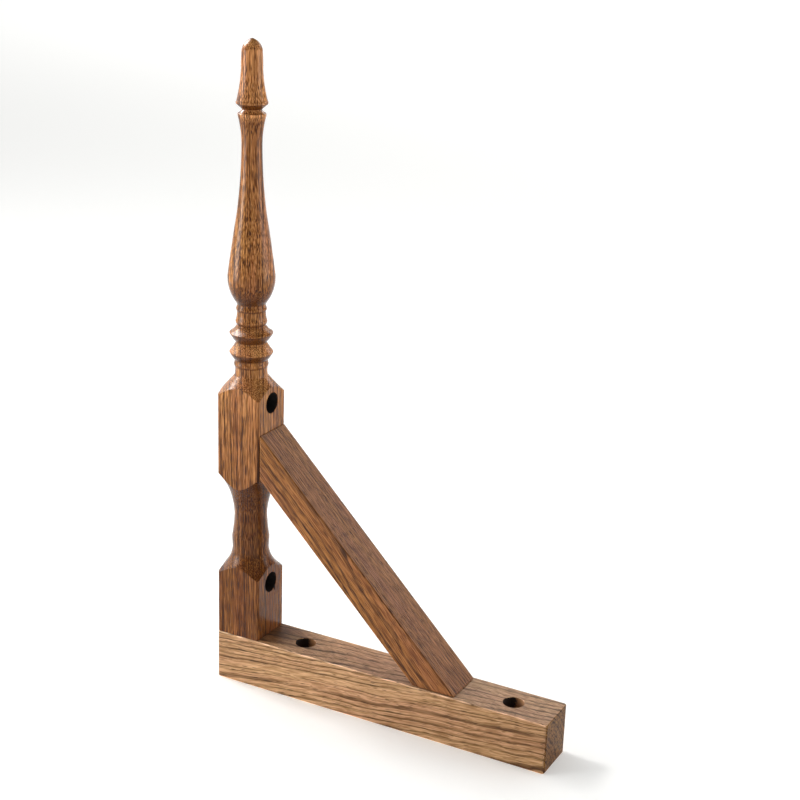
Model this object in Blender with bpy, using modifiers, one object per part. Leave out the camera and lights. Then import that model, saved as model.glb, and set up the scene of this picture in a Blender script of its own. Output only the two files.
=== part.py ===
"""Oak shelf bracket: a turned post and a 45 degree brace standing on a square arm.

The frame is in metres. X runs along the arm, away from the wall, Y across it and Z up the post.
The origin is the middle of the arm's underside, so the wall is at -X. The bracket is symmetric about Y = 0.
"""

from dataclasses import dataclass
from math import ceil, cos, hypot, pi, radians, sin, sqrt, tan

import bmesh
import bpy
from mathutils import Matrix, Vector

# Square stock
POST_SIDE = 0.028
ARM_LEDGE = 0.0002
ARM_HEIGHT = 0.030
BRACE_SETBACK = 0.0010
BRACE_THICKNESS = 0.0186
BRACE_ANGLE = radians(45)

# Lengths of the post's stretches, from the arm up: a block, a turned waist, a block, a turned spindle
FOOT_BLOCK = 0.0376
WAIST = 0.0636
BRACE_BLOCK = 0.0460
SPINDLE = 0.1978

# The brace's lower cut above the brace block's lower corners, and the arm's length past the brace's toe
HEEL_RISE = 0.0007
ARM_TAIL = 0.0558

# Screw holes: a wide bore for the head and a narrow one for the shank, right through
COUNTERBORE_DIAMETER = 0.012
COUNTERBORE_DEPTH = 0.012
SHANK_DIAMETER = 0.006

# Hole centres: below each block's upper corners, from the post's front face, and from the arm's free end
FOOT_HOLE_DROP = 0.0046
BRACE_BLOCK_HOLE_DROP = 0.0032
REAR_HOLE_OFFSET = 0.0247
FRONT_HOLE_INSET = 0.0258

# Eased edges
POST_ARRIS = 0.0012
ARM_ARRIS = 0.0010
BRACE_ARRIS = 0.0008

# Space left between pieces that touch
JOINT_GAP = 0.0003

# Facets
TURNING_STEPS = 32
HOLE_STEPS = 24
ARRIS_SEGMENTS = 3
CHORD_ERROR = 0.00006
CUT_MARGIN = 0.002
MERGE_DISTANCE = 0.0001

# Sizes that follow from those above
ARM_WIDTH = POST_SIDE + 2 * ARM_LEDGE
BRACE_WIDTH = POST_SIDE - 2 * BRACE_SETBACK
BRACE_CUT = BRACE_THICKNESS / cos(BRACE_ANGLE)
HEEL_HEIGHT = FOOT_BLOCK + WAIST + HEEL_RISE
HEAD_HEIGHT = HEEL_HEIGHT + BRACE_CUT
BRACE_REACH = HEAD_HEIGHT / tan(BRACE_ANGLE)
ARM_LENGTH = POST_SIDE + BRACE_REACH + ARM_TAIL
WALL_X = -ARM_LENGTH / 2
POST_X = WALL_X + POST_SIDE / 2
POST_FRONT_X = WALL_X + POST_SIDE
WAIST_FOOT = FOOT_BLOCK
BRACE_BLOCK_FOOT = FOOT_BLOCK + WAIST
SPINDLE_FOOT = BRACE_BLOCK_FOOT + BRACE_BLOCK


@dataclass(frozen=True)
class Station:
    """A place on a turned outline, in shares that let a stretch be made longer or stouter.

    up is the share of the stretch's length, out the share of half the post's side, and bow how far
    the outline below this place bulges out from a straight line, again in shares of half the side.
    """

    up: float
    out: float
    bow: float = 0.0


CORNER = sqrt(2)

SPINDLE_STATIONS = (
    # The rounded tip and the bell under it, down to its sharp rim
    Station(1.0000, 0.000, 0.090),
    Station(0.9687, 0.407, 0.007),
    Station(0.9190, 0.425, -0.029),
    Station(0.8342, 0.600, 0.014),
    Station(0.8256, 0.625),
    # The V groove, the collar and the long taper to the thin neck
    Station(0.8104, 0.371, -0.014),
    Station(0.7998, 0.557),
    Station(0.7937, 0.550, -0.043),
    Station(0.7078, 0.407, -0.039),
    # The vase, from its neck to its round base
    Station(0.5248, 0.589, 0.011),
    Station(0.3503, 0.950, 0.100),
    Station(0.2730, 0.621, -0.007),
    # The thin ring and the hollow drum
    Station(0.2649, 0.571, -0.007),
    Station(0.2553, 0.614, 0.011),
    Station(0.2477, 0.586, -0.025),
    Station(0.2179, 0.636, 0.014),
    Station(0.2063, 0.579, -0.036),
    # Two ridges with a valley between them
    Station(0.1835, 0.886, 0.014),
    Station(0.1557, 0.614, -0.014),
    Station(0.1269, 0.886, 0.018),
    # The groove, the small bead and the neck that opens into the block's shoulder
    Station(0.1041, 0.671, -0.007),
    Station(0.0915, 0.700, 0.007),
    Station(0.0824, 0.657, -0.011),
    Station(0.0576, 0.671, -0.014),
    Station(0.0000, CORNER, 0.014),
)

WAIST_STATIONS = (
    # A hollow under the brace block, a low swelling and the shoulder of the foot block
    Station(1.0000, CORNER, -0.057),
    Station(0.7846, 0.846, -0.032),
    Station(0.5723, 0.679, -0.018),
    Station(0.3522, 0.779),
    Station(0.2437, 0.757, -0.036),
    Station(0.1179, 0.929, -0.007),
    Station(0.0503, 1.150, 0.007),
    Station(0.0000, CORNER),
)


def outline_of(stations, foot, length):
    """The turned outline of one stretch, top to bottom, as (radius, height) pairs."""
    half = POST_SIDE / 2
    points = []
    for upper, lower in zip(stations, stations[1:]):
        start = Vector((upper.out * half, foot + upper.up * length))
        end = Vector((lower.out * half, foot + lower.up * length))
        chord = end - start
        outward = Vector((-chord.y, chord.x)).normalized()
        bow = upper.bow * half
        steps = max(1, ceil(sqrt(abs(bow) / CHORD_ERROR)))
        for step in range(steps):
            share = step / steps
            points.append(start + chord * share + outward * (4 * bow * share * (1 - share)))
    points.append(Vector((stations[-1].out * half, foot + stations[-1].up * length)))
    return [(point.x, point.y) for point in points]


def post_outline():
    """The whole post's outline as it would come off the lathe if the blocks were round."""
    spindle = outline_of(SPINDLE_STATIONS, SPINDLE_FOOT, SPINDLE)
    waist = outline_of(WAIST_STATIONS, WAIST_FOOT, WAIST)
    foot = [(CORNER * POST_SIDE / 2, JOINT_GAP), (0.0, JOINT_GAP)]
    return spindle + waist + foot


def new_collection(name):
    """A collection linked to the scene."""
    collection = bpy.data.collections.new(name)
    bpy.context.scene.collection.children.link(collection)
    return collection


def new_object(name, collection, mesh, parent, location=(0, 0, 0), turn=0.0):
    """An object at a place, turned about Y, and parented to the bracket's empty."""
    made = bpy.data.objects.new(name, mesh)
    made.location = location
    made.rotation_euler = (0, turn, 0)
    made.parent = parent
    collection.objects.link(made)
    return made


def mesh_from(bm, name):
    """A mesh with the bmesh's faces, which then point outwards."""
    bmesh.ops.recalc_face_normals(bm, faces=bm.faces)
    mesh = bpy.data.meshes.new(name)
    bm.to_mesh(mesh)
    bm.free()
    return mesh


def outline_mesh(name, points):
    """An open line of edges in the XZ plane, for a Screw modifier."""
    bm = bmesh.new()
    verts = [bm.verts.new((radius, 0, height)) for radius, height in points]
    for first, second in zip(verts, verts[1:]):
        bm.edges.new((first, second))
    mesh = bpy.data.meshes.new(name)
    bm.to_mesh(mesh)
    bm.free()
    return mesh


def add_screw(made, steps):
    """Turns an object's outline about its Z axis."""
    screw = made.modifiers.new("Turning", "SCREW")
    screw.axis = "Z"
    screw.angle = 2 * pi
    screw.steps = steps
    screw.render_steps = steps
    screw.use_merge_vertices = True
    screw.merge_threshold = MERGE_DISTANCE
    screw.use_smooth_shade = True


def add_boolean(made, cutter, operation):
    """Joins or cuts an object with a cutter."""
    boolean = made.modifiers.new(cutter.name, "BOOLEAN")
    boolean.operation = operation
    boolean.solver = "EXACT"
    boolean.object = cutter


def hide_cutter(cutter):
    """Keeps a cutter out of the picture."""
    cutter.hide_render = True
    cutter.display_type = "WIRE"


def oak(name, colour, roughness):
    """A Principled oak of one tone."""
    material = bpy.data.materials.new(name)
    material.use_nodes = True
    shader = material.node_tree.nodes["Principled BSDF"]
    shader.inputs["Base Color"].default_value = (*colour, 1.0)
    shader.inputs["Roughness"].default_value = roughness
    shader.inputs["Metallic"].default_value = 0.0
    material.diffuse_color = (*colour, 1.0)
    return material


def bar(length, width, height):
    """A bmesh box, centred on the origin."""
    bm = bmesh.new()
    bmesh.ops.create_cube(bm, size=1.0)
    bmesh.ops.scale(bm, vec=(length, width, height), verts=bm.verts)
    return bm


def edges_along(bm, axis):
    """The edges of a box that run along one axis."""
    ends = [(edge, edge.verts[0].co - edge.verts[1].co) for edge in bm.edges]
    return [edge for edge, span in ends if abs(span[axis]) > MERGE_DISTANCE]


def ease(bm, edges, width):
    """Rounds edges over."""
    bmesh.ops.bevel(
        bm, geom=edges, offset=width, segments=ARRIS_SEGMENTS, profile=0.5, affect="EDGES", material=-1
    )


def screw_hole(name, collection, parent, location, turn, stock):
    """A stepped hole's cutter. Its own Z points out of the mouth, which is at its location."""
    wide = COUNTERBORE_DIAMETER / 2
    narrow = SHANK_DIAMETER / 2
    through = stock + CUT_MARGIN
    points = [
        (0.0, CUT_MARGIN),
        (wide, CUT_MARGIN),
        (wide, -COUNTERBORE_DEPTH),
        (narrow, -COUNTERBORE_DEPTH),
        (narrow, -through),
        (0.0, -through),
    ]
    cutter = new_object(name, collection, outline_mesh(name, points), parent, location, turn)
    add_screw(cutter, HOLE_STEPS)
    hide_cutter(cutter)
    return cutter


def make_post(parts, cutters, parent):
    """The turned post: a lathe form cut to a square, which leaves the flats of its two blocks."""
    foot = Vector((POST_X, 0, ARM_HEIGHT))
    post = new_object("turned_post", parts, outline_mesh("turned_post", post_outline()), parent, foot)
    add_screw(post, TURNING_STEPS)

    height = SPINDLE_FOOT + SPINDLE
    bm = bar(POST_SIDE, POST_SIDE, height + 2 * CUT_MARGIN)
    ease(bm, edges_along(bm, 2), POST_ARRIS)
    blank_centre = foot + Vector((0, 0, height / 2))
    blank = new_object("post_blank", cutters, mesh_from(bm, "post_blank"), parent, blank_centre)
    hide_cutter(blank)
    add_boolean(post, blank, "INTERSECT")

    drops = {
        "foot_block_hole": WAIST_FOOT - FOOT_HOLE_DROP,
        "brace_block_hole": SPINDLE_FOOT - BRACE_BLOCK_HOLE_DROP,
    }
    for name, height_up in drops.items():
        mouth = (POST_FRONT_X, 0, ARM_HEIGHT + height_up)
        cutter = screw_hole(name, cutters, parent, mouth, pi / 2, POST_SIDE)
        add_boolean(post, cutter, "DIFFERENCE")
    post.data.materials.append(oak("turned oak", (0.330, 0.170, 0.083), 0.42))
    return post


def make_arm(parts, cutters, parent):
    """The square arm, with its edges eased and its two screw holes."""
    bm = bar(ARM_LENGTH, ARM_WIDTH, ARM_HEIGHT)
    ease(bm, bm.edges[:], ARM_ARRIS)
    arm = new_object("shelf_arm", parts, mesh_from(bm, "shelf_arm"), parent, (0, 0, ARM_HEIGHT / 2))
    places = {
        "rear_arm_hole": POST_FRONT_X + REAR_HOLE_OFFSET,
        "front_arm_hole": WALL_X + ARM_LENGTH - FRONT_HOLE_INSET,
    }
    for name, along in places.items():
        cutter = screw_hole(name, cutters, parent, (along, 0, ARM_HEIGHT), 0.0, ARM_HEIGHT)
        add_boolean(arm, cutter, "DIFFERENCE")
    arm.data.materials.append(oak("planed oak", (0.440, 0.255, 0.135), 0.48))
    return arm


def make_brace(parts, parent):
    """The brace: a bar laid at its angle and sawn upright at the post and level at the arm."""
    upward = Vector((sin(BRACE_ANGLE), 0, cos(BRACE_ANGLE)))
    rough_length = hypot(BRACE_REACH, HEAD_HEIGHT) + 2 * BRACE_THICKNESS
    upper_middle = Vector((BRACE_REACH / 2, 0, HEAD_HEIGHT / 2))

    bm = bar(rough_length, BRACE_WIDTH, BRACE_THICKNESS)
    ease(bm, edges_along(bm, 0), BRACE_ARRIS)
    bmesh.ops.rotate(bm, matrix=Matrix.Rotation(BRACE_ANGLE, 3, "Y"), verts=bm.verts)
    bmesh.ops.translate(bm, vec=upper_middle - upward * (BRACE_THICKNESS / 2), verts=bm.verts)
    for inward in (Vector((1, 0, 0)), Vector((0, 0, 1))):
        cut = inward * JOINT_GAP
        geometry = bm.verts[:] + bm.edges[:] + bm.faces[:]
        bmesh.ops.bisect_plane(bm, geom=geometry, plane_co=cut, plane_no=-inward, clear_outer=True)
        bmesh.ops.holes_fill(bm, edges=bm.edges[:])
    corner = (POST_FRONT_X, 0, ARM_HEIGHT)
    brace = new_object("diagonal_brace", parts, mesh_from(bm, "diagonal_brace"), parent, corner)
    brace.data.materials.append(oak("sawn and sanded oak", (0.375, 0.205, 0.108), 0.50))
    return brace


def main():
    """Clears the scene and builds the bracket."""
    for old in list(bpy.data.objects):
        bpy.data.objects.remove(old, do_unlink=True)
    parts = new_collection("shelf_bracket")
    cutters = new_collection("cutters")
    bracket = bpy.data.objects.new("bracket", None)
    parts.objects.link(bracket)
    make_post(parts, cutters, bracket)
    make_arm(parts, cutters, bracket)
    make_brace(parts, bracket)


main()
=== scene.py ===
"""Dresses the oak shelf bracket: a turned post and a 45 degree brace on a square arm.

Each piece is modelled again with smooth turning, eased arrises and clean bores, and finished in oiled oak whose
rings, pores and fibres are a solid pattern, so they meet at every edge as they do in one stick of wood.
"""

import logging
from dataclasses import dataclass, field, replace
from enum import Enum
from math import atan, ceil, cos, pi, radians, sin, sqrt
from typing import Callable

import bmesh
import bpy
from mathutils import Euler, Matrix, Vector


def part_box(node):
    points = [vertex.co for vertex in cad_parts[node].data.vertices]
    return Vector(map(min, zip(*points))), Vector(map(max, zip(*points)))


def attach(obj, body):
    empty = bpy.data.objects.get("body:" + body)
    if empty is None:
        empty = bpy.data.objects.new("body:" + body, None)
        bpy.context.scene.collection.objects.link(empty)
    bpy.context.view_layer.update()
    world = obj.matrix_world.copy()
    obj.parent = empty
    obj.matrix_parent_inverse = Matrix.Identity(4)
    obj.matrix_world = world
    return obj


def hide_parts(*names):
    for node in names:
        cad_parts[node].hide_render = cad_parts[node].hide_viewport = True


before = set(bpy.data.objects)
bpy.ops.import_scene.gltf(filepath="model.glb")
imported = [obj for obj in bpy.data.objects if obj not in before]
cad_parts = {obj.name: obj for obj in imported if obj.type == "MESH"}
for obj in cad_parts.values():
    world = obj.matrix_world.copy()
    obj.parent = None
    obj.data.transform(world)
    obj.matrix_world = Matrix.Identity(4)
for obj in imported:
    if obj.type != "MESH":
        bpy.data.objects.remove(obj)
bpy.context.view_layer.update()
LOG = logging.getLogger("shelf_bracket")

MM = 0.001
MERGE_DISTANCE = 1e-6
# A square block's corner is this many times as far from its middle as its sides are
CORNER = sqrt(2)

# Few of a noise's values lie beyond these two
NOISE_LOW = 0.35
NOISE_HIGH = 0.65
# Shares of a ring's width, each with how much of the wood there is spring wood
YEAR = ((0.0, 0.0), (0.07, 1.0), (0.26, 0.85), (0.40, 0.12), (1.0, 0.0))
# How many rings a good or a bad spell lasts, and how many rings' width it shifts the next ones by
SPELL = 2.6
SPELL_SHIFT = 2.2
# Sizes in millimetres along and across the grain: of the patches in which a ring's dark line comes and goes,
# of the colour's broad drift, and of a speck in the end grain
PATCH = (55.0, 7.0, 7.0)
DRIFT = (120.0, 9.0, 9.0)
SPECK = (1.6, 1.6, 1.6)
# The noise at which end grain is darkest, and at which it is palest
SPECK_DARKEST = 0.38
SPECK_PALEST = 0.6
# What is left of a ring's line where it is faintest, and the noise at which it is whole
FAINTEST_LINE = 0.35
WHOLE_LINE = 0.62
# The share of a vessel's width that is open all the way
VESSEL_CORE = 0.45
# A vessel is about 0.15 mm deep where the surface cuts it open, and a fibre stands up by this share of that
VESSEL_DEPTH = 0.15 * MM
FIBRE_RISE = 0.35
# How much rougher the oiled surface is in a vessel and in spring wood, and what end grain loses of its gloss
VESSEL_ROUGHER = 0.14
SPRING_ROUGHER = 0.05
END_DULLER = 0.7
# The cosine between the surface's normal and the grain at which end grain starts to show, and is whole
END_STARTS = 0.6
END_WHOLE = 0.95
# The Z of the surface's normal at which the painted shade under an overhang starts, and at which it is darkest
OVERHANG_STARTS = -0.05
OVERHANG_DARKEST = -0.5
# Oiled wood gets redder as it gets darker: its green fades faster than its red, and its blue fastest
GREEN_FADES = 1.2
BLUE_FADES = 1.5


def linear(code: str) -> tuple[float, float, float, float]:
    """Turns an sRGB hex colour into the linear one that shaders take.

    Args:
        code: Six hex digits, such as "c79a6b".

    Returns:
        Linear red, green and blue, and an alpha of 1.
    """
    shares = [int(code[place:place + 2], 16) / 255 for place in (0, 2, 4)]
    red, green, blue = (s / 12.92 if s <= 0.04045 else ((s + 0.055) / 1.055) ** 2.4 for s in shares)
    return red, green, blue, 1.0


class Sheet:
    """The node tree of a material or of the world, filled one node at a time."""

    def __init__(self, owner: bpy.types.Material | bpy.types.World) -> None:
        """Takes a tree that holds only its own shader.

        Args:
            owner: The material or the world.
        """
        owner.use_nodes = True
        self.owner = owner
        self.tree = owner.node_tree
        self.shader = next(node for node in self.tree.nodes if node.type in ("BSDF_PRINCIPLED", "BACKGROUND"))

    def add(self, kind: str, inputs: dict | None = None, stops: tuple[tuple[float, float], ...] = (),
            **settings: object) -> bpy.types.Node:
        """Adds a node with its settings and links.

        Args:
            kind: The node's type.
            inputs: What each input takes, as feed says.
            stops: A colour ramp's stops, each a place from 0 to 1 and its grey.
            settings: The node's own properties.

        Returns:
            The new node.
        """
        node = self.tree.nodes.new(kind)
        for name, value in settings.items():
            setattr(node, name, value)
        while stops and len(node.color_ramp.elements) < len(stops):
            node.color_ramp.elements.new(1.0)
        for number, (place, grey) in enumerate(stops):
            node.color_ramp.elements[number].position = place
            node.color_ramp.elements[number].color = (grey, grey, grey, 1.0)
        self.feed(node, inputs or {})
        return node

    def feed(self, node: bpy.types.Node, inputs: dict) -> None:
        """Gives a node's inputs their values or links.

        Args:
            node: The node.
            inputs: What each input takes, by its name or its place among the inputs in use: a value, a socket,
                or a node, which stands for its first output in use.
        """
        used = [socket for socket in node.inputs if socket.enabled]
        for key, value in inputs.items():
            socket = used[key] if isinstance(key, int) else next(s for s in used if s.name == key)
            if isinstance(value, bpy.types.Node):
                value = next(output for output in value.outputs if output.enabled)
            if isinstance(value, bpy.types.NodeSocket):
                self.tree.links.new(value, socket)
            else:
                socket.default_value = value


class Grain(Enum):
    """Which way a stick's grain runs: the turn, in degrees, that lays the grain along X."""

    ALONG_THE_ARM = (0.0, 6.5, 1.5)
    UP_THE_POST = (0.0, 90.8, 0.0)
    DOWN_THE_BRACE = (0.0, -48.5, 0.0)

    @property
    def turn(self) -> Euler:
        """The turn as a rotation."""
        return Euler([radians(angle) for angle in self.value])

    @property
    def direction(self) -> Vector:
        """The grain's own direction in the bracket's frame."""
        return self.turn.to_matrix().inverted() @ Vector((1, 0, 0))


@dataclass(frozen=True)
class ShadePatch:
    """A patch of painted shade: a shadow that one piece casts on another, or the shade in a joint between them.

    centre is its middle and reach how far the shade reaches, in millimetres along the bracket's own axes.
    bright is what is left of the wood's colour.
    """

    centre: tuple[float, float, float]
    reach: tuple[float, float, float]
    bright: float


@dataclass(frozen=True)
class OiledOak:
    """Oiled oak, a ring-porous hardwood.

    Each year starts with a band of wide open vessels, which show as dark dashes along the grain, and goes on
    with dense, smooth and paler wood. Oil warms the colour and gathers in the vessels. Lengths are in
    millimetres.

    summer and blush are the two colours that the dense wood drifts between, spring the open wood and vessel the
    dashes. pith is where the tree's heart would be, across the stick, ring is a year's growth and start how far
    up the trunk the stick was cut. tones are places along the stick, each with how bright the wood is there; on
    the turned post they also hold painted highlights and painted shade. dash is a vessel's length, and crowd
    how much of the wood the vessels take, in summer and in spring wood. fibre, wave and ripple are lengths
    along the grain and sizes across it. end_tint and end_shade are what end grain multiplies the colour by, in
    its pale specks and its dark ones.
    """

    name: str
    summer: str
    blush: str
    spring: str
    vessel: str
    grain: Grain
    pith: tuple[float, float]
    ring: float
    start: float
    tones: tuple[tuple[float, float], ...]
    crowd: tuple[float, float]
    # Oak's vessels are 0.2 to 0.3 mm wide. They are drawn two to three times as coarse: a pixel is 0.6 mm
    vessel_width: float
    ripple: tuple[float, float]
    ring_contrast: float
    fibre_contrast: float
    specular: float
    # A wiped oil film on sanded wood starts from roughness 0.4 and the default IOR: a soft sheen, no mirror
    roughness: float = 0.33
    # Patches of painted shade and painted shadow
    shade_patches: tuple[ShadePatch, ...] = ()
    dash: float = 8.0
    fibre: tuple[float, float] = (12.0, 0.6)
    wave: tuple[float, float] = (95.0, 5.0)
    vessel_contrast: float = 0.95
    end_tint: str = "bcaa7e"
    end_shade: str = "6f5e3a"
    # How much of a vessel's depth the oil has left open
    sunk: float = 0.5
    # Painted shade under overhangs: what is left of the wood's colour where the surface faces down
    underside_shade: float = 1.0

    def build(self) -> bpy.types.Material:
        """Makes the material.

        Returns:
            The finished material.
        """
        sheet = Sheet(bpy.data.materials.new(self.name))
        bracket = sheet.add("ShaderNodeMapping", {
            "Vector": sheet.add("ShaderNodeTexCoord").outputs["Object"],
            "Scale": (1 / MM, 1 / MM, 1 / MM),
        })
        straight = sheet.add("ShaderNodeMapping", {"Vector": bracket, "Rotation": self.grain.turn})
        stick = self.waved(sheet, straight)
        season = self.seasons(sheet, stick)
        vessels = self.vessels(sheet, stick, season)
        fibre = self.figure(sheet, stick, (self.fibre[0], self.fibre[1], self.fibre[1]), 2.0)
        value = self.brightness(sheet, bracket, straight, fibre)
        end = self.end_grain(sheet)
        self.colour(sheet, stick, season, vessels, value, end)
        self.relief(sheet, season, vessels, fibre, end)
        return sheet.owner

    def figure(self, sheet: Sheet, stick: bpy.types.Node, size: tuple[float, float, float],
               detail: float) -> bpy.types.Node:
        """Soft figure in the wood, drawn out along the grain.

        Args:
            sheet: The node tree.
            stick: Coordinates in millimetres with X along the grain.
            size: A cloud's length, width and depth in millimetres.
            detail: How many finer layers are added.

        Returns:
            The figure, about 0.5 on the whole.
        """
        scaled = sheet.add("ShaderNodeVectorMath", {0: stick, 1: [1 / length for length in size]},
                           operation="MULTIPLY")
        return sheet.add("ShaderNodeTexNoise",
                         {"Vector": scaled, "Scale": 1.0, "Detail": detail, "Roughness": 0.5})

    def waved(self, sheet: Sheet, straight: bpy.types.Node) -> bpy.types.Node:
        """Bends the straight stick by the slow waves of a trunk's fibres and by the ripples on them.

        Args:
            sheet: The node tree.
            straight: Coordinates in millimetres with X along the straight grain.

        Returns:
            Coordinates that follow the fibres.
        """
        bent = sheet.add("ShaderNodeVectorMath", {0: straight, 1: (self.start, 0.0, 0.0)}, operation="ADD")
        for length, height in (self.wave, self.ripple):
            noise = self.figure(sheet, bent, (length, length / 2, length / 2), 1.5)
            centred = sheet.add("ShaderNodeVectorMath", {0: noise.outputs["Color"], 1: (0.5, 0.5, 0.5)},
                                operation="SUBTRACT")
            across = sheet.add("ShaderNodeVectorMath", {0: centred, 1: (0.0, height, height)},
                               operation="MULTIPLY")
            bent = sheet.add("ShaderNodeVectorMath", {0: bent, 1: across}, operation="ADD")
        return bent

    def seasons(self, sheet: Sheet, stick: bpy.types.Node) -> bpy.types.Node:
        """Grows the rings round the pith.

        Args:
            sheet: The node tree.
            stick: Coordinates in millimetres that follow the fibres.

        Returns:
            How much each place is spring wood: 1 where a year starts, fading to 0 in its summer wood.
        """
        shifted = sheet.add("ShaderNodeVectorMath", {0: stick, 1: (0.0, *self.pith)}, operation="SUBTRACT")
        flat = sheet.add("ShaderNodeVectorMath", {0: shifted, 1: (0.0, 1.0, 1.0)}, operation="MULTIPLY")
        radius = sheet.add("ShaderNodeVectorMath", {0: flat}, operation="LENGTH")
        # Good and bad years: the rings are not all as wide
        age = sheet.add("ShaderNodeMath", {0: radius, 1: SPELL * self.ring}, operation="DIVIDE")
        years = sheet.add("ShaderNodeTexNoise", {"W": age, "Scale": 1.0, "Detail": 1.0}, noise_dimensions="1D")
        uneven = sheet.add("ShaderNodeMath", {0: years, 1: SPELL_SHIFT * self.ring, 2: radius},
                           operation="MULTIPLY_ADD")
        count = sheet.add("ShaderNodeMath", {0: uneven, 1: self.ring}, operation="DIVIDE")
        season = sheet.add("ShaderNodeMath", {0: count}, operation="FRACT")
        band = sheet.add("ShaderNodeValToRGB", {"Fac": season}, stops=YEAR)
        # A ring's dark line comes and goes along the stick
        patchy = self.figure(sheet, stick, PATCH, 2.0)
        strength = sheet.add("ShaderNodeMapRange", {"Value": patchy, "From Min": NOISE_LOW,
                                                    "From Max": WHOLE_LINE, "To Min": FAINTEST_LINE,
                                                    "To Max": 1.0})
        return sheet.add("ShaderNodeMath", {0: band, 1: strength}, operation="MULTIPLY")

    def vessels(self, sheet: Sheet, stick: bpy.types.Node, season: bpy.types.Node) -> bpy.types.Node:
        """Opens the vessels: slender dashes along the grain, crowded in spring wood, rarer in summer wood.

        Args:
            sheet: The node tree.
            stick: Coordinates in millimetres that follow the fibres.
            season: How much each place is spring wood.

        Returns:
            How open the wood is: 1 inside a vessel.
        """
        size = (self.dash, self.vessel_width, self.vessel_width)
        scaled = sheet.add("ShaderNodeVectorMath", {0: stick, 1: [1 / length for length in size]},
                           operation="MULTIPLY")
        cells = sheet.add("ShaderNodeTexVoronoi", {"Vector": scaled, "Scale": 1.0})
        chance = sheet.add("ShaderNodeSeparateColor", {0: cells.outputs["Color"]})
        crowd = sheet.add("ShaderNodeMapRange",
                          {"Value": season, "To Min": self.crowd[0], "To Max": self.crowd[1]})
        reach = sheet.add("ShaderNodeMath", {0: chance, 1: crowd}, operation="MULTIPLY")
        inner = sheet.add("ShaderNodeMath", {0: reach, 1: VESSEL_CORE}, operation="MULTIPLY")
        return sheet.add("ShaderNodeMapRange", {"Value": cells, "From Min": reach, "From Max": inner},
                         interpolation_type="SMOOTHSTEP")

    def brightness(self, sheet: Sheet, bracket: bpy.types.Node, straight: bpy.types.Node,
                   fibre: bpy.types.Node) -> bpy.types.Node:
        """Works out how bright the wood is: its tone along the stick, its fibres, and painted shade in patches
        and under overhangs.

        Args:
            sheet: The node tree.
            bracket: Coordinates in millimetres along the bracket's axes.
            straight: Coordinates in millimetres with X along the straight grain.
            fibre: The fine figure of the fibres.

        Returns:
            What the wood's colour is multiplied by.
        """
        first, last = self.tones[0][0], self.tones[-1][0]
        brightest = max(bright for _, bright in self.tones)
        share = sheet.add("ShaderNodeMapRange", {"Value": sheet.add("ShaderNodeSeparateXYZ", {0: straight}),
                                                 "From Min": first, "From Max": last})
        tone = sheet.add("ShaderNodeValToRGB", {"Fac": share}, stops=tuple(
            ((at - first) / (last - first), bright / brightest) for at, bright in self.tones))
        streak = sheet.add("ShaderNodeMapRange", {"Value": fibre, "From Min": NOISE_LOW, "From Max": NOISE_HIGH,
                                                  "To Min": brightest * (1 - self.fibre_contrast),
                                                  "To Max": brightest * (1 + self.fibre_contrast)})
        value = sheet.add("ShaderNodeMath", {0: tone, 1: streak}, operation="MULTIPLY")
        # Each patch of painted shade darkens the wood smoothly towards its middle
        for shade_spot in self.shade_patches:
            offset = sheet.add("ShaderNodeVectorMath", {0: bracket, 1: shade_spot.centre}, operation="SUBTRACT")
            scaled = sheet.add("ShaderNodeVectorMath", {0: offset, 1: shade_spot.reach}, operation="DIVIDE")
            away = sheet.add("ShaderNodeVectorMath", {0: scaled}, operation="LENGTH")
            left = sheet.add("ShaderNodeMapRange", {"Value": away, "To Min": shade_spot.bright, "To Max": 1.0},
                             interpolation_type="SMOOTHSTEP")
            value = sheet.add("ShaderNodeMath", {0: value, 1: left}, operation="MULTIPLY")
        # Painted shade on faces that look downwards, darkest under overhangs
        tilt = sheet.add("ShaderNodeSeparateXYZ", {0: sheet.add("ShaderNodeNewGeometry").outputs["Normal"]})
        under = sheet.add("ShaderNodeMapRange", {"Value": tilt.outputs["Z"], "From Min": OVERHANG_DARKEST,
                                                 "From Max": OVERHANG_STARTS, "To Min": self.underside_shade,
                                                 "To Max": 1.0})
        value = sheet.add("ShaderNodeMath", {0: value, 1: under}, operation="MULTIPLY")
        green = sheet.add("ShaderNodeMath", {0: value, 1: GREEN_FADES}, operation="POWER")
        blue = sheet.add("ShaderNodeMath", {0: value, 1: BLUE_FADES}, operation="POWER")
        return sheet.add("ShaderNodeCombineXYZ", {0: value, 1: green, 2: blue})

    def end_grain(self, sheet: Sheet) -> bpy.types.Node:
        """Finds where the surface cuts across the grain.

        Args:
            sheet: The node tree.

        Returns:
            How much of end grain each place is: 1 where the cut is square across.
        """
        facing = sheet.add("ShaderNodeVectorMath", {0: sheet.add("ShaderNodeNewGeometry").outputs["Normal"],
                                                    1: self.grain.direction}, operation="DOT_PRODUCT")
        either_way = sheet.add("ShaderNodeMath", {0: facing}, operation="ABSOLUTE")
        return sheet.add("ShaderNodeMapRange",
                         {"Value": either_way, "From Min": END_STARTS, "From Max": END_WHOLE},
                         interpolation_type="SMOOTHSTEP")

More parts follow.
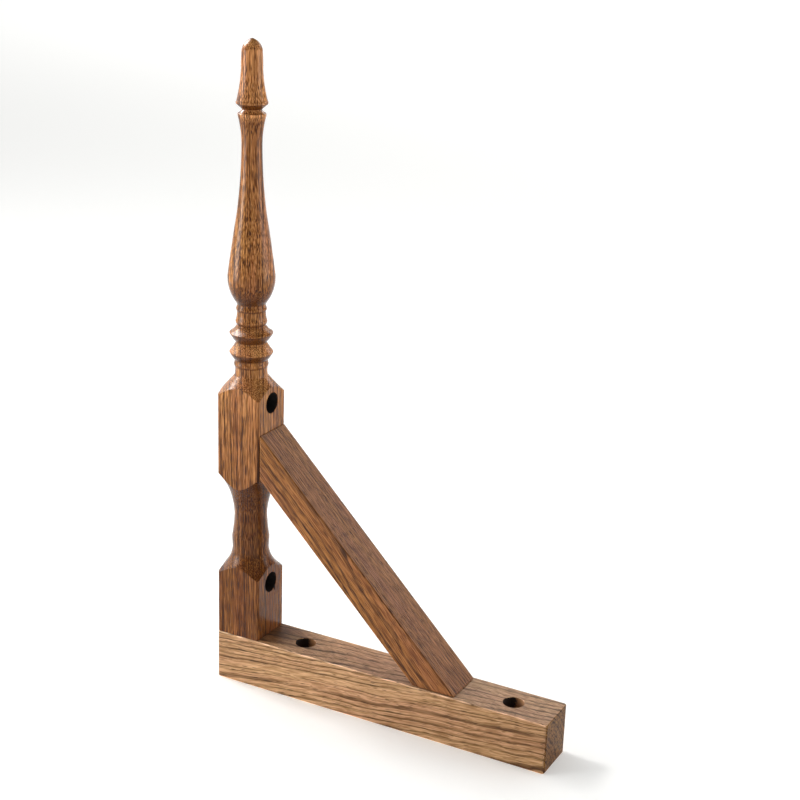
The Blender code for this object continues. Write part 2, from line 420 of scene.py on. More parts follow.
    def colour(self, sheet: Sheet, stick: bpy.types.Node, season: bpy.types.Node, vessels: bpy.types.Node,
               value: bpy.types.Node, end: bpy.types.Node) -> None:
        """Lays the wood's colours over one another, from the broad drift to the vessels and the end grain.

        Args:
            sheet: The node tree.
            stick: Coordinates in millimetres that follow the fibres.
            season: How much each place is spring wood.
            vessels: How open the wood is.
            value: How bright the wood is.
            end: How much of end grain each place is.
        """
        broad = self.figure(sheet, stick, DRIFT, 2.0)
        drift = sheet.add("ShaderNodeMapRange", {"Value": broad, "From Min": NOISE_LOW, "From Max": NOISE_HIGH})
        dense = sheet.add("ShaderNodeMix", {0: drift, 1: linear(self.summer), 2: linear(self.blush)},
                          data_type="RGBA")
        year = sheet.add("ShaderNodeMath", {0: season, 1: self.ring_contrast}, operation="MULTIPLY")
        wood = sheet.add("ShaderNodeMix", {0: year, 1: dense, 2: linear(self.spring)}, data_type="RGBA")
        toned = sheet.add("ShaderNodeVectorMath", {0: wood, 1: value}, operation="MULTIPLY")
        depth = sheet.add("ShaderNodeMath", {0: vessels, 1: self.vessel_contrast}, operation="MULTIPLY")
        open_wood = sheet.add("ShaderNodeMix", {0: depth, 1: toned, 2: linear(self.vessel)}, data_type="RGBA")
        # End grain drinks more oil, so it is darker, in specks
        speckle = sheet.add("ShaderNodeMapRange", {"Value": self.figure(sheet, stick, SPECK, 1.0),
                                                   "From Min": SPECK_DARKEST, "From Max": SPECK_PALEST})
        tint = sheet.add("ShaderNodeMix", {0: speckle, 1: linear(self.end_shade), 2: linear(self.end_tint)},
                         data_type="RGBA")
        finished = sheet.add("ShaderNodeMix", {0: end, 1: open_wood, 2: tint}, data_type="RGBA",
                             blend_type="MULTIPLY")
        sheet.feed(sheet.shader, {"Base Color": finished})

    def relief(self, sheet: Sheet, season: bpy.types.Node, vessels: bpy.types.Node, fibre: bpy.types.Node,
               end: bpy.types.Node) -> None:
        """Sinks the vessels and raises the fibres a little, and makes open wood and end grain duller.

        Args:
            sheet: The node tree.
            season: How much each place is spring wood.
            vessels: How open the wood is.
            fibre: The fine figure of the fibres.
            end: How much of end grain each place is.
        """
        gloss = sheet.add("ShaderNodeMath", {0: end, 1: -END_DULLER * self.specular, 2: self.specular},
                          operation="MULTIPLY_ADD")
        opened = sheet.add("ShaderNodeMath", {0: vessels, 1: VESSEL_ROUGHER, 2: self.roughness},
                           operation="MULTIPLY_ADD")
        rough = sheet.add("ShaderNodeMath", {0: season, 1: SPRING_ROUGHER, 2: opened}, operation="MULTIPLY_ADD")
        raised = sheet.add("ShaderNodeMath", {0: fibre, 1: FIBRE_RISE}, operation="MULTIPLY")
        height = sheet.add("ShaderNodeMath", {0: raised, 1: vessels}, operation="SUBTRACT")
        bump = sheet.add("ShaderNodeBump", {"Height": height, "Strength": self.sunk, "Distance": VESSEL_DEPTH})
        sheet.feed(sheet.shader, {"Specular IOR Level": gloss, "Roughness": rough, "Normal": bump})


@dataclass(frozen=True)
class DrilledOak:
    """The wall of a drilled hole: wood torn by the bit and burnt by its heat, with no oil on it.

    The eye gets a dull wall with no sheen, with burn marks and painted shade: the side that faces +X, away from
    the light, is painted dark, and the side that looks towards the post is left as lit, unburnt wood. torn is a
    torn fibre's width in millimetres, really 0.1 and drawn coarser to show, and depth is how deep it is torn,
    in metres, of which relief shows. The wall is painted dark where its normal's X, with the torn fibres added
    as ragged says, is over scorched_and_shaded_over, and left as lit wood where it is under bare_and_lit_under.
    """

    name: str
    wood: str
    scorch_and_shade: str
    torn: float = 0.8
    depth: float = 0.15 * MM
    relief: float = 0.5
    roughness: float = 0.85
    ragged: float = 0.5
    scorched_and_shaded_over: float = 0.55
    bare_and_lit_under: float = 0.2

    def build(self) -> bpy.types.Material:
        """Makes the material.

        Returns:
            The finished material.
        """
        sheet = Sheet(bpy.data.materials.new(self.name))
        place = sheet.add("ShaderNodeTexCoord").outputs["Object"]
        torn = sheet.add("ShaderNodeTexNoise", {"Vector": place, "Scale": 1 / (self.torn * MM), "Detail": 2.0})
        facing = sheet.add("ShaderNodeSeparateXYZ", {0: sheet.add("ShaderNodeNewGeometry").outputs["Normal"]})
        # Burn marks along the torn fibres, and painted shade on the side of the wall that faces +X
        rub_and_light = sheet.add("ShaderNodeMath", {0: torn, 1: self.ragged, 2: facing}, operation="MULTIPLY_ADD")
        bare_and_lit = sheet.add("ShaderNodeMapRange",
                         {"Value": rub_and_light, "From Min": self.scorched_and_shaded_over, "From Max": self.bare_and_lit_under})
        sheet.feed(sheet.shader, {
            "Base Color": sheet.add("ShaderNodeMix", {0: bare_and_lit, 1: linear(self.scorch_and_shade), 2: linear(self.wood)},
                                    data_type="RGBA"),
            "Roughness": self.roughness,
            "Normal": sheet.add("ShaderNodeBump",
                                {"Height": torn, "Strength": self.relief, "Distance": self.depth}),
        })
        return sheet.owner


@dataclass(frozen=True)
class LightTable:
    """The opal acrylic table that the bracket stands on, faintly lit from below.

    The eye gets an even pale ground with no gloss and no pattern, and shadows that stay pale. glow is the light
    that it gives off itself, as a share of white.
    """

    name: str = "Opal acrylic, matt, lit from below"
    colour: str = "f2f2f0"
    glow: float = 0.25
    roughness: float = 0.9

    def build(self) -> bpy.types.Material:
        """Makes the material.

        Returns:
            The finished material.
        """
        sheet = Sheet(bpy.data.materials.new(self.name))
        sheet.feed(sheet.shader, {"Base Color": linear(self.colour), "Roughness": self.roughness,
                                  "Emission Color": linear(self.colour), "Emission Strength": self.glow})
        return sheet.owner


def object_from(bm: bmesh.types.BMesh, name: str) -> bpy.types.Object:
    """Makes an object of a bmesh, with its faces outwards.

    Args:
        bm: The shape, which is freed.
        name: The object's name.

    Returns:
        The object, linked to the scene.
    """
    bmesh.ops.remove_doubles(bm, verts=bm.verts, dist=MERGE_DISTANCE)
    bmesh.ops.recalc_face_normals(bm, faces=bm.faces)
    mesh = bpy.data.meshes.new(name)
    bm.to_mesh(mesh)
    bm.free()
    made = bpy.data.objects.new(name, mesh)
    bpy.context.scene.collection.objects.link(made)
    return made


def settle(piece: bpy.types.Object) -> None:
    """Makes what a piece's modifiers give its own mesh.

    Args:
        piece: The piece, whose modifiers are cleared.
    """
    evaluated = piece.evaluated_get(bpy.context.evaluated_depsgraph_get())
    rough = piece.data
    piece.data = bpy.data.meshes.new_from_object(evaluated)
    piece.modifiers.clear()
    bpy.data.meshes.remove(rough)
    piece.data.name = piece.name


def cut_away(bm: bmesh.types.BMesh, place: Vector, outward: Vector) -> None:
    """Saws off what lies beyond a plane and closes the cut.

    Args:
        bm: The shape.
        place: A point on the plane.
        outward: The plane's normal, towards what is sawn off.
    """
    whole = bm.verts[:] + bm.edges[:] + bm.faces[:]
    cut = bmesh.ops.bisect_plane(bm, geom=whole, dist=MERGE_DISTANCE / 10, plane_co=place, plane_no=outward,
                                 clear_outer=True)
    rim = [part for part in cut["geom_cut"] if isinstance(part, bmesh.types.BMEdge)]
    bmesh.ops.holes_fill(bm, edges=rim)


def bar(size: Vector) -> bmesh.types.BMesh:
    """Makes a bar centred on the origin.

    Args:
        size: Its length, width and height.

    Returns:
        The bar.
    """
    bm = bmesh.new()
    bmesh.ops.create_cube(bm, size=1.0)
    bmesh.ops.scale(bm, vec=size, verts=bm.verts)
    return bm


def edges_along(bm: bmesh.types.BMesh, axis: int) -> list[bmesh.types.BMEdge]:
    """Finds the edges of a bar that run along one axis.

    Args:
        bm: The bar.
        axis: 0, 1 or 2 for X, Y or Z.

    Returns:
        The edges.
    """
    spans = [(edge, edge.verts[0].co - edge.verts[1].co) for edge in bm.edges]
    return [edge for edge, span in spans if abs(span[axis]) > max(span) - min(span) - MERGE_DISTANCE]


def ease(bm: bmesh.types.BMesh, edges: list[bmesh.types.BMEdge], width: float, segments: int = 6) -> None:
    """Rounds edges over.

    Args:
        bm: The shape.
        edges: The edges to round.
        width: How far the rounding reaches from each edge.
        segments: How many facets it has.
    """
    bmesh.ops.bevel(bm, geom=edges, offset=width, segments=segments, profile=0.5, affect="EDGES", material=-1)


@dataclass(frozen=True)
class ScrewHole:
    """A counterbored hole for a wood screw: a wide bore for its head and a narrow one for its shank.

    splinter, where there is one, is where a splinter tore out of the rim, as an offset from the mouth's middle.
    splinter_size is half its thickness along each axis.
    """

    name: str
    mouth: Vector
    outward: Vector
    through: float
    counterbore: float = 12 * MM
    depth: float = 12 * MM
    shank: float = 6 * MM
    worn_rim: float = 0.15 * MM
    steps: int = 72
    splinter: Vector | None = None
    splinter_size: tuple[float, float, float] = (0.7 * MM, 0.55 * MM, 1.9 * MM)

    def cutter(self) -> bpy.types.Object:
        """Makes the hole's shape, turned on the hole's axis, a little wider where the rim is worn.

        Returns:
            A closed solid the shape of the hole.
        """
        wide = self.counterbore / 2
        narrow = self.shank / 2
        beyond = 2 * MM
        outline = (
            (0.0, beyond),
            (wide + self.worn_rim, beyond),
            (wide + self.worn_rim, 0.0),
            (wide, -2 * self.worn_rim),
            (wide, -self.depth),
            (narrow, -self.depth),
            (narrow, -self.through - beyond),
            (0.0, -self.through - beyond),
        )
        bm = bmesh.new()
        verts = [bm.verts.new((radius, 0.0, height)) for radius, height in outline]
        for upper, lower in zip(verts, verts[1:]):
            bm.edges.new((upper, lower))
        bmesh.ops.spin(bm, geom=bm.verts[:] + bm.edges[:], cent=(0, 0, 0), axis=(0, 0, 1), angle=2 * pi,
                       steps=self.steps, use_merge=True)
        turn = Vector((0, 0, 1)).rotation_difference(self.outward).to_matrix().to_4x4()
        bmesh.ops.transform(bm, matrix=Matrix.Translation(self.mouth) @ turn, verts=bm.verts)
        return object_from(bm, self.name)

    def tear(self) -> bpy.types.Object:
        """Makes the shape of the splinter that tore out of the rim.

        Returns:
            A closed solid the shape of the splinter.
        """
        bm = bmesh.new()
        bmesh.ops.create_icosphere(bm, subdivisions=2, radius=1.0)
        bmesh.ops.scale(bm, vec=self.splinter_size, verts=bm.verts)
        bmesh.ops.translate(bm, vec=self.mouth + self.splinter, verts=bm.verts)
        return object_from(bm, f"{self.name}_splinter")

    def drill(self, piece: bpy.types.Object, wall: int) -> None:
        """Cuts the hole and gives its wall a material.

        Args:
            piece: The piece to drill.
            wall: The place of the wall's material among the piece's.
        """
        for cutter in [self.cutter()] + ([self.tear()] if self.splinter else []):
            boolean = piece.modifiers.new(self.name, "BOOLEAN")
            boolean.operation = "DIFFERENCE"
            boolean.solver = "EXACT"
            boolean.object = cutter
            settle(piece)
            bpy.data.objects.remove(cutter, do_unlink=True)
        reach = self.counterbore / 2 + self.worn_rim / 2
        for face in piece.data.polygons:
            offset = face.center - self.mouth
            height = offset.dot(self.outward)
            off_axis = (offset - self.outward * height).length
            torn = self.splinter and (offset - self.splinter).length < max(self.splinter_size) + MM
            if -self.through + MM < height < -self.worn_rim and (off_axis < reach or torn):
                face.material_index = wall


@dataclass
class Piece:
    """One stick of the bracket, made where its node is."""

    node: str
    slot: str
    finish: OiledOak
    bore: DrilledOak | None = None
    smooth_angle: float = radians(26)
    low: Vector = field(init=False)
    high: Vector = field(init=False)
    size: Vector = field(init=False)
    middle: Vector = field(init=False)

    def __post_init__(self) -> None:
        """Takes the piece's place from its node."""
        self.low, self.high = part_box(self.node)
        self.size = self.high - self.low
        self.middle = (self.low + self.high) / 2

    def shape(self) -> bmesh.types.BMesh:
        """Models the piece without its holes."""
        raise NotImplementedError

    def holes(self) -> list[ScrewHole]:
        """Lists the piece's screw holes."""
        return []

    def dress_arrises(self, piece: bpy.types.Object) -> None:
        """Gives the arrises their own finish where they have one, worn paler and with a painted highlight."""

    def rub_back_and_highlight(self, piece: bpy.types.Object, strength: float, rub_and_light: Callable[[Vector], bool]) -> None:
        """Rubs some faces back to paler wood and paints on them the highlight that they catch.

        Args:
            piece: The piece.
            strength: How many times brighter the wood gets.
            rub_and_light: Says from a face's normal whether it is worn paler and given a painted highlight.
        """
        tones = tuple((place, tone * strength) for place, tone in self.finish.tones)
        finish = replace(self.finish, name=f"{self.finish.name}, rubbed arris", tones=tones)
        piece.data.materials.append(finish.build())
        for face in piece.data.polygons:
            if rub_and_light(face.normal):
                face.material_index = len(piece.data.materials) - 1

    def build(self) -> bpy.types.Object:
        """Models the piece, drills and dresses it, and sets it in place of its node.

        Returns:
            The finished piece.
        """
        piece = object_from(self.shape(), f"oak_{self.node}")
        piece.data.materials.append(self.finish.build())
        if self.bore:
            piece.data.materials.append(self.bore.build())
        for hole in self.holes():
            hole.drill(piece, wall=1)
        self.dress_arrises(piece)
        piece.data.shade_smooth()
        piece.data.set_sharp_from_angle(angle=self.smooth_angle)
        # The wide flats keep their own normals, and the eased arrises turn between them
        weighted = piece.modifiers.new("Flats", "WEIGHTED_NORMAL")
        weighted.keep_sharp = True
        settle(piece)
        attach(piece, "root")
        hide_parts(self.node)
        return piece


@dataclass(frozen=True)
class Station:
    """A place on a turned outline.

    up is the share of the stretch's length and out the share of half the post's side. bow is how far the
    outline below this place bulges out from a straight line, in shares of half the side. crisp says that the
    tool left a corner here, which sanding has only just eased.
    """

    up: float
    out: float
    bow: float = 0.0
    crisp: bool = True


SPINDLE = (
    # The rounded tip and the bell under it, down to its sharp rim
    Station(1.0000, 0.000, 0.090, crisp=False),
    Station(0.9687, 0.407, 0.007),
    Station(0.9190, 0.425, -0.029, crisp=False),
    Station(0.8342, 0.600, 0.014),
    Station(0.8256, 0.625),
    # The V groove, the collar and the long taper to the thin neck
    Station(0.8104, 0.371, -0.014),
    Station(0.7998, 0.557),
    Station(0.7937, 0.550, -0.043),
    Station(0.7078, 0.407, -0.039, crisp=False),
    # The vase, from its neck to its round base
    Station(0.5248, 0.589, 0.011, crisp=False),
    Station(0.3503, 0.950, 0.100, crisp=False),
    Station(0.2730, 0.621, -0.007),
    # The thin ring and the hollow drum
    Station(0.2649, 0.571, -0.007),
    Station(0.2553, 0.614, 0.011),
    Station(0.2477, 0.586, -0.025),
    Station(0.2179, 0.636, 0.014),
    Station(0.2063, 0.579, -0.036),
    # Two ridges with a valley between them
    Station(0.1835, 0.886, 0.014),
    Station(0.1557, 0.614, -0.014),
    Station(0.1269, 0.886, 0.018),
    # The groove, the small bead and the neck that opens into the block's shoulder
    Station(0.1041, 0.671, -0.007),
    Station(0.0915, 0.700, 0.007),
    Station(0.0824, 0.657, -0.011),
    Station(0.0576, 0.671, -0.014),
    Station(0.0000, CORNER, 0.014),
)

WAIST = (
    # A hollow under the brace block, a low swelling and the shoulder of the foot block
    Station(1.0000, CORNER, -0.057),
    Station(0.7846, 0.846, -0.032, crisp=False),
    Station(0.5723, 0.679, -0.018, crisp=False),
    Station(0.3522, 0.779, crisp=False),
    Station(0.2437, 0.757, -0.036, crisp=False),
    Station(0.1179, 0.929, -0.007, crisp=False),
    Station(0.0503, 1.150, 0.007, crisp=False),
    Station(0.0000, CORNER),
)

# Heights in millimetres and how bright the oak is there. The stick is darker towards its foot and paler
# towards its tip. The bright bands on the ridges and the collar are painted highlights, and the dark bands in
# the turned hollows, under the brace block and under the ridges, the vase and the bell are painted shade.
POST_TONES_WITH_PAINTED_LIGHT = (
    (30.0, 0.51), (68.0, 0.47), (104.0, 0.47), (117.0, 0.47), (121.0, 0.74), (133.0, 0.78), (142.0, 0.84),
    (170.0, 0.84), (180.0, 1.12), (195.0, 1.06), (197.4, 0.80), (202.4, 0.90), (204.0, 1.40), (206.5, 1.45),
    (208.5, 1.00), (213.4, 1.00), (214.6, 1.30), (217.0, 1.30), (218.2, 0.50), (220.5, 1.00), (229.0, 0.74),
    (234.0, 0.86), (242.0, 0.84), (252.0, 1.04), (280.0, 1.00),
    (332.0, 0.79), (336.5, 1.90), (338.5, 1.30), (345.0, 1.22), (375.0, 1.26),
)


@dataclass
class TurnedPost(Piece):
    """The post: square in two blocks and turned everywhere else, with its two screw holes."""

    node: str = "turned_post"
    slot: str = "turned_oak"
    foot_block: float = 37.6 * MM
    waist: float = 63.6 * MM
    brace_block: float = 46.0 * MM
    arris: float = 1.8 * MM
    arris_cuts: int = 6
    sanded_corner: float = 0.35 * MM
    chord_error: float = 0.012 * MM
    lathe_steps: int = 128
    foot_hole_drop: float = 4.6 * MM
    brace_block_hole_drop: float = 3.2 * MM
    # From the middle of the foot block's hole to where a splinter tore out of its rim
    splinter: tuple[float, float, float] = (0.0, 4.2 * MM, -5.2 * MM)
    # Turned and oiled: close rings, the strongest dashes, end grain showing on the shoulders, and a soft sheen
    finish: OiledOak = OiledOak(
        name="Oiled oak, turned", summer="ab733e", blush="a4683c", spring="4e2a0f", vessel="381b09",
        grain=Grain.UP_THE_POST, pith=(62.0, -26.0), ring=1.9, start=30.0, specular=0.17,
        roughness=0.2, wave=(95.0, 4.0), ripple=(9.0, 0.55),
        vessel_width=0.5, crowd=(0.6, 1.3), fibre=(14.0, 0.42), fibre_contrast=0.65, ring_contrast=0.9,
        tones=POST_TONES_WITH_PAINTED_LIGHT, sunk=0.15, underside_shade=0.3, end_tint="e6dcc4", end_shade="b5a27c",
        shade_patches=(
            # Painted shade in the joint with the brace's head, and round the post's foot where it stands on the
            # arm
            ShadePatch((-78.6, -13.4, 136.0), (1.9, 1.9, 27.0), 0.25),
            ShadePatch((-78.0, -6.0, 30.0), (9.0, 9.0, 5.0), 0.6),
        ),
    )
    # Drilled with a worn bit: walls painted nearly black, for burn marks and for the shade deep in the bores
    bore: DrilledOak = DrilledOak("Drilled oak, charred_and_shaded", wood="160c06", scorch_and_shade="050201")
    half: float = field(init=False)
    foot: float = field(init=False)
    spindle_foot: float = field(init=False)
    spindle: float = field(init=False)

    def __post_init__(self) -> None:
        """Finds half the post's side, and the heights of its foot and its spindle."""
        super().__post_init__()
        self.half = self.size.x / 2
        self.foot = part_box("shelf_arm")[1].z
        self.spindle_foot = self.foot + self.foot_block + self.waist + self.brace_block
        self.spindle = self.high.z - self.spindle_foot

    def outline(self, stations: tuple[Station, ...], foot: float, length: float) -> list[tuple[Vector, bool]]:
        """The outline of one turned stretch, top to bottom.

        Args:
            stations: The places that the outline runs through.
            foot: The height of the stretch's foot.
            length: The stretch's length.

        Returns:
            Each point as radius and height, and whether it is a crisp corner.
        """
        points = []
        for upper, lower in zip(stations, stations[1:]):
            start = Vector((upper.out * self.half, foot + upper.up * length))
            chord = Vector((lower.out * self.half, foot + lower.up * length)) - start
            outward = Vector((-chord.y, chord.x)).normalized()
            bow = upper.bow * self.half
            steps = max(2, ceil(sqrt(abs(bow) / self.chord_error)))
            for step in range(steps):
                share = step / steps
                point = start + chord * share + outward * (4 * bow * share * (1 - share))
                points.append((point, upper.crisp and step == 0))
        last = stations[-1]
        points.append((Vector((last.out * self.half, foot + last.up * length)), False))
        return points

    def shape(self) -> bmesh.types.BMesh:
        """Turns the whole outline, then planes the flats of the two blocks and eases their arrises.

        Returns:
            The post without its holes.
        """
        outline = self.outline(SPINDLE, self.spindle_foot, self.spindle)
        outline += self.outline(WAIST, self.foot + self.foot_block, self.waist)
        outline += [(Vector((CORNER * self.half, self.low.z)), False), (Vector((0.0, self.low.z)), False)]
        bm = bmesh.new()
        verts = [bm.verts.new((point.x, 0.0, point.y)) for point, _ in outline]
        for upper, lower in zip(verts, verts[1:]):
            bm.edges.new((upper, lower))
        corners = [vert for vert, (_, crisp) in zip(verts, outline) if crisp]
        bmesh.ops.bevel(bm, geom=corners, offset=self.sanded_corner, segments=3, profile=0.5, affect="VERTICES",
                        material=-1, clamp_overlap=True)
        bmesh.ops.spin(bm, geom=bm.verts[:] + bm.edges[:], cent=(0, 0, 0), axis=(0, 0, 1), angle=2 * pi,
                       steps=self.lathe_steps, use_merge=True)
        bmesh.ops.remove_doubles(bm, verts=bm.verts, dist=MERGE_DISTANCE)
        bmesh.ops.recalc_face_normals(bm, faces=bm.faces)
        self.plane_flats(bm)
        bmesh.ops.translate(bm, vec=(self.middle.x, 0.0, 0.0), verts=bm.verts)
        return bm

    def plane_flats(self, bm: bmesh.types.BMesh) -> None:
        """Takes the four flats off the blocks, and the narrow facets that round each arris.

        Args:
            bm: The turned post, still centred on its own axis.
        """
        turns = 4 * (self.arris_cuts + 1)
        for step in range(turns):
            angle = 2 * pi * step / turns
            outward = Vector((cos(angle), sin(angle), 0.0))
            quarter = Matrix.Rotation(pi / 2 * (step // (self.arris_cuts + 1)), 3, "Z")
            centre = quarter @ Vector((self.half - self.arris, self.half - self.arris, 0.0))
            cut_away(bm, centre + outward * self.arris, outward)

    def holes(self) -> list[ScrewHole]:
        """Places the two holes, which start in the faces towards the brace.

        Returns:
            The foot block's hole and the brace block's.
        """
        places = (
            ("foot_block_hole", self.foot + self.foot_block - self.foot_hole_drop, Vector(self.splinter)),
            ("brace_block_hole", self.spindle_foot - self.brace_block_hole_drop, None),
        )
        return [
            ScrewHole(name, Vector((self.high.x, 0.0, height)), Vector((1, 0, 0)), self.size.x, splinter=torn)
            for name, height, torn in places
        ]


@dataclass
class ShelfArm(Piece):
    """The arm: a planed bar with softened edges and two screw holes in its upper face."""

    node: str = "shelf_arm"
    slot: str = "planed_oak"
    arris: float = 0.7 * MM
    end_arris: float = 1.6 * MM
    # The end arrises are rounded first, and edges that still turn by more than this are eased after them
    still_sharp: float = radians(60)
    # How many times brighter an arris is, worn paler and with a painted highlight, and how far its normal leans
    # to both of the flats beside it
    rub_and_light: float = 1.9
    leaning: float = 0.2
    rear_hole_offset: float = 24.7 * MM
    front_hole_inset: float = 25.8 * MM
    # Planed and oiled: the palest stick, with wide rings that run along it as dark wavy lines
    finish: OiledOak = OiledOak(
        name="Oiled oak, planed", summer="b99065", blush="b48661", spring="5e3d20", vessel="4a2f19",
        grain=Grain.ALONG_THE_ARM, pith=(-42.0, -34.0), ring=3.0, start=12.0, specular=0.19,
        crowd=(0.35, 0.8), vessel_width=0.6, wave=(85.0, 7.0), ripple=(11.0, 1.1), ring_contrast=0.95,
        fibre_contrast=0.35,
        tones=((-106.0, 0.97), (-20.0, 1.07), (30.0, 0.96), (106.0, 0.87)),
        # Painted shadow that the post casts on the arm's top
        shade_patches=(ShadePatch((-74.0, 2.0, 30.0), (22.0, 20.0, 12.0), 0.22),),
    )
    # Drilled with a sharper bit: brown walls with burn marks, and painted shade on the side that faces away
    # from the light
    bore: DrilledOak = DrilledOak("Drilled oak, scorched_and_shaded", wood="a8764a", scorch_and_shade="1a0d06")

    def shape(self) -> bmesh.types.BMesh:
        """Models a bar whose end corners are sanded rounder than its long edges.

        Returns:
            The arm without its holes.
        """
        bm = bar(self.size)
        ease(bm, edges_along(bm, 2), self.end_arris)
        ease(bm, [edge for edge in bm.edges if edge.calc_face_angle(0.0) > self.still_sharp], self.arris)
        bmesh.ops.translate(bm, vec=self.middle, verts=bm.verts)
        return bm

    def dress_arrises(self, piece: bpy.types.Object) -> None:
        """Rubs the long arrises back to paler wood and paints on them the highlight that they catch."""
        self.rub_back_and_highlight(piece, self.rub_and_light, lambda normal: min(abs(normal.y), abs(normal.z)) > self.leaning)

    def holes(self) -> list[ScrewHole]:
        """Places the two holes: the rear one stands off the post and the front one off the free end.

        Returns:
            The rear hole and the front one.
        """
        post_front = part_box("turned_post")[1].x
        places = {
            "rear_arm_hole": post_front + self.rear_hole_offset,
            "front_arm_hole": self.high.x - self.front_hole_inset,
        }
        return [
            ScrewHole(name, Vector((along, 0.0, self.high.z)), Vector((0, 0, 1)), self.size.z)
            for name, along in places.items()
        ]


@dataclass
class DiagonalBrace(Piece):
    """The brace: a bar laid at 45 degrees, sawn upright at the post and level at the arm."""

    node: str = "diagonal_brace"
    slot: str = "sanded_oak"
    thickness: float = 18.6 * MM
    arris: float = 0.8 * MM
    sawn_arris: float = 0.4 * MM
    # How nearly a sawn face's normal runs along an axis
    square_on: float = 0.99
    # How many times brighter an arris is, worn paler and with a painted highlight, and how far its normal leans
    # to both of the flats beside it
    rub_and_light: float = 2.2
    leaning: float = 0.3
    # Sanded and oiled: warm front and back with long lines, and rows of fine dashes on the upper face
    finish: OiledOak = OiledOak(
        name="Oiled oak, sanded", summer="905c2d", blush="8c5733", spring="523017", vessel="3a200d",
        grain=Grain.DOWN_THE_BRACE, pith=(-48.0, 52.0), ring=1.6, start=-25.0,
        specular=0.18, vessel_width=0.5, crowd=(0.5, 1.3), fibre=(14.0, 0.42), ripple=(10.0, 0.5),
        fibre_contrast=0.5, ring_contrast=0.9,
        tones=((-200.0, 1.0), (200.0, 1.0)),
    )

    def shape(self) -> bmesh.types.BMesh:
        """Lays the bar from the node's upper corner to its outer one and saws both ends.

        Returns:
            The brace.
        """
        slope = atan(self.size.z / self.size.x)
        length = sqrt(self.size.x ** 2 + self.size.z ** 2) + 2 * self.thickness
        upward = Vector((sin(slope), 0.0, cos(slope)))
        bm = bar(Vector((length, self.size.y, self.thickness)))
        ease(bm, edges_along(bm, 0), self.arris)
        bmesh.ops.rotate(bm, matrix=Matrix.Rotation(slope, 3, "Y"), verts=bm.verts)
        bmesh.ops.translate(bm, vec=self.middle - upward * (self.thickness / 2), verts=bm.verts)
        cut_away(bm, self.low, Vector((-1, 0, 0)))
        cut_away(bm, self.low, Vector((0, 0, -1)))
        sawn = [face for face in bm.faces if max(-face.normal.x, -face.normal.z) > self.square_on]
        ease(bm, list({edge for face in sawn for edge in face.edges}), self.sawn_arris, segments=2)
        return bm

    def dress_arrises(self, piece: bpy.types.Object) -> None:
        """Rubs back the arrises of the upright cut, where the brace meets the post, to paler wood with a
        painted highlight.
        """
        self.rub_back_and_highlight(piece, self.rub_and_light, lambda normal: min(-normal.x, abs(normal.y)) > self.leaning)


@dataclass(frozen=True)
class Softbox:
    """A square soft light, hung at a place and pointed at another.

    Places and the side are in metres and the power in watts. only_in_gloss makes it a card that shows in the
    oil's sheen alone and leaves the wood's own colour as the other lights make it.
    """

    name: str
    place: tuple[float, float, float]
    side: float
    power: float
    aim: tuple[float, float, float] = (0.0, 0.0, 0.18)
    only_in_gloss: bool = False

    def hang(self) -> None:
        """Hangs the light."""
        light = bpy.data.lights.new(self.name, "AREA")
        light.shape = "SQUARE"
        light.size = self.side
        light.energy = self.power
        lamp = bpy.data.objects.new(self.name, light)
        lamp.visible_diffuse = not self.only_in_gloss
        lamp.location = self.place
        lamp.rotation_euler = (lamp.location - Vector(self.aim)).to_track_quat("Z", "Y").to_euler()
        bpy.context.scene.collection.objects.link(lamp)


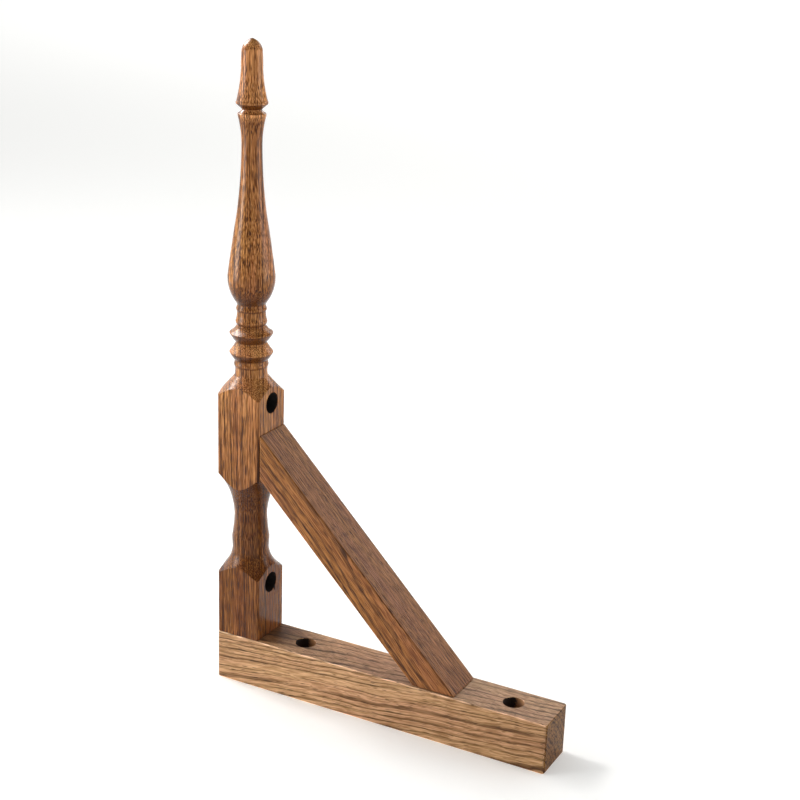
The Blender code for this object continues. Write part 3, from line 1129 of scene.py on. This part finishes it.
@dataclass(frozen=True)
class Studio:
    """A plain pale floor between two bright walls, five softboxes, and the camera.

    The room's light is brightest straight to the left and the right, and dim between them. The softboxes at the
    left light the left sides of the post and the brace, and one of them adds only white glints. The one at the
    back right lights the right sides, and the one far behind lights the floor there.
    """

    floor_side: float = 80.0
    left_wall: float = 2.4
    right_wall: float = 0.7
    # The share of the left wall's light that the middle of the room still gives
    dim_middle: float = 0.06
    place: tuple[float, float, float] = (0.3756, -0.7162, 0.4646)
    heading: tuple[float, float, float] = (-0.43688, 0.84033, -0.32091)
    roll: float = radians(1.99)
    lens: float = 71.23
    softboxes: tuple[Softbox, ...] = (
        Softbox("upper left", (-0.90, 0.09, 1.06), 0.22, 6.5),
        Softbox("highlight card", (-0.97, 0.10, 1.14), 0.9, 66.0, only_in_gloss=True),
        Softbox("left", (-0.86, -0.64, 0.28), 0.45, 6.7),
        Softbox("back right", (0.98, 0.42, 0.24), 0.70, 5.5),
        Softbox("background", (0.6, 7.0, 2.5), 6.0, 430.0, aim=(0.6, 7.0, 0.0)),
    )

    def light(self) -> None:
        """Hangs the softboxes and lights the room from its two walls."""
        for softbox in self.softboxes:
            softbox.hang()
        sheet = Sheet(bpy.data.worlds.new("studio"))
        direction = sheet.add("ShaderNodeSeparateXYZ", {0: sheet.add("ShaderNodeTexCoord")})
        across = sheet.add("ShaderNodeMapRange", {"Value": direction, "From Min": -1.0})
        right = self.right_wall / self.left_wall
        # From straight left, at 0, to straight right, at 1
        walls = sheet.add("ShaderNodeValToRGB", {"Fac": across}, stops=(
            (0.0, 1.0), (0.07, 0.8), (0.2, 0.25), (0.5, self.dim_middle), (0.85, 0.5 * right), (1.0, right)))
        sheet.feed(sheet.shader, {"Color": walls, "Strength": self.left_wall})
        bpy.context.scene.world = sheet.owner

    def lay_floor(self) -> None:
        """Lays the floor under the bracket."""
        bm = bmesh.new()
        bmesh.ops.create_grid(bm, x_segments=1, y_segments=1, size=self.floor_side / 2)
        floor = object_from(bm, "floor")
        floor.data.materials.append(LightTable().build())

    def set_camera(self) -> None:
        """Stands the camera where the photograph was taken from, and tips it by the photograph's roll."""
        data = bpy.data.cameras.new("camera")
        data.lens = self.lens
        camera = bpy.data.objects.new("camera", data)
        aim = Vector(self.heading).to_track_quat("-Z", "Y").to_matrix().to_4x4()
        camera.matrix_world = Matrix.Translation(self.place) @ aim @ Matrix.Rotation(self.roll, 4, "Z")
        bpy.context.scene.collection.objects.link(camera)
        bpy.context.scene.camera = camera


def main() -> None:
    """Builds the studio and the bracket's pieces."""
    logging.basicConfig(level=logging.INFO, format="%(message)s")
    bpy.context.scene.view_settings.view_transform = "Standard"
    studio = Studio()
    studio.set_camera()
    studio.lay_floor()
    studio.light()
    for kind in (TurnedPost, ShelfArm, DiagonalBrace):
        piece = kind().build()
        LOG.info("%s: %d faces", piece.name, len(piece.data.polygons))


if __name__ == "__main__":
    main()
